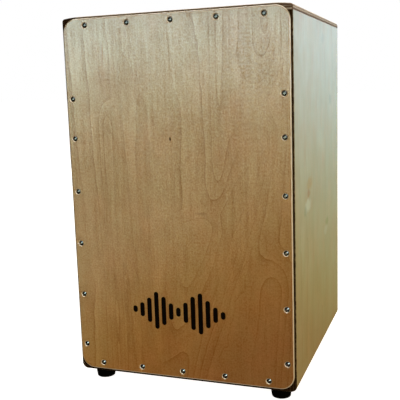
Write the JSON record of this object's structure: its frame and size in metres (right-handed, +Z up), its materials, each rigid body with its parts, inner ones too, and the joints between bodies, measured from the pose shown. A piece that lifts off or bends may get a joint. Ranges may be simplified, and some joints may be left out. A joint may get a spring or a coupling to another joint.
{
  "type": "cajon",
  "caption": "Upright plywood box drum with a thin screwed-on playing face with rounded corners, a round rear sound hole, rubber feet and inner snare strings on turnable tuners.",
  "frame": {"origin": "centre of the footprint, on the floor under the feet", "axes": "+Z up, -Y is the playing face, +X is the right side seen from the front"},
  "size_m": [0.3, 0.323, 0.485],
  "materials": {
    "plywood": "birch plywood, clear satin varnish, darker along the edges",
    "tapa_veneer": "flat-cut birch veneer, clear satin varnish",
    "back_plywood": "birch plywood, clear satin varnish",
    "batten_wood": "planed pine, unfinished",
    "nickel_screw": "nickel plated",
    "rubber": "matt black",
    "black_steel": "black oxide",
    "zinc_steel": "zinc plated",
    "carrier_brass": "machined",
    "string_bronze": "bronze wound",
    "felt": "wool felt"
  },
  "bodies": {
    "box": {"top_board": "plywood", "bottom_board": "plywood", "left_side_panel": "plywood", "right_side_panel": "plywood", "tapa": "tapa_veneer", "back_panel": "back_plywood", "front_batten_top": "batten_wood", "front_batten_bottom": "batten_wood", "front_batten_left": "batten_wood", "front_batten_right": "batten_wood", "rear_batten_top": "batten_wood", "rear_batten_bottom": "batten_wood", "rear_batten_left": "batten_wood", "rear_batten_right": "batten_wood", "string_bar": "batten_wood", "tapa_screws": "nickel_screw", "back_panel_screws": "nickel_screw", "foot_screws": "nickel_screw", "foot_washers": "nickel_screw", "bracket_screws": "nickel_screw", "string_anchor_screws": "nickel_screw", "rubber_foot_front_left": "rubber", "rubber_foot_front_right": "rubber", "rubber_foot_rear_left": "rubber", "rubber_foot_rear_right": "rubber", "tuner_washers": "zinc_steel", "tuner_bracket_left": "zinc_steel", "tuner_bracket_right": "zinc_steel", "string_anchor_plate_left": "zinc_steel", "string_anchor_plate_right": "zinc_steel", "string_bar_felt": "felt"},
    "tuner_left": {"tuner_bolt_left": "black_steel", "tuner_locknut_left": "zinc_steel"},
    "tuner_right": {"tuner_bolt_right": "black_steel", "tuner_locknut_right": "zinc_steel"},
    "carrier_left": {"string_carrier_left": "carrier_brass", "snare_string_left_inner": "string_bronze", "snare_string_left_outer": "string_bronze"},
    "carrier_right": {"string_carrier_right": "carrier_brass", "snare_string_right_inner": "string_bronze", "snare_string_right_outer": "string_bronze"}
  },
  "joints": [
    {"name": "tuner_left_turn", "type": "hinge", "parent": "box", "child": "tuner_left", "pos_m": [-0.04, -0.1495, 0.05], "axis": [0, 0, 1], "range_deg": [-1445, 1445]},
    {"name": "carrier_left_travel", "type": "slide", "parent": "box", "child": "carrier_left", "axis": [0, 0, -1], "range_m": [-0.0032, 0.0032], "deforming": ["snare_string_left_inner", "snare_string_left_outer"]},
    {"name": "tuner_right_turn", "type": "hinge", "parent": "box", "child": "tuner_right", "pos_m": [0.04, -0.1495, 0.05], "axis": [0, 0, 1], "range_deg": [-1445, 1445]},
    {"name": "carrier_right_travel", "type": "slide", "parent": "box", "child": "carrier_right", "axis": [0, 0, -1], "range_m": [-0.0032, 0.0032], "deforming": ["snare_string_right_inner", "snare_string_right_outer"]}
  ],
  "couplings": [
    {"joint": "tuner_left_turn", "follows": "carrier_left_travel", "rad_per_m": 7854},
    {"joint": "tuner_right_turn", "follows": "carrier_right_travel", "rad_per_m": 7854}
  ]
}
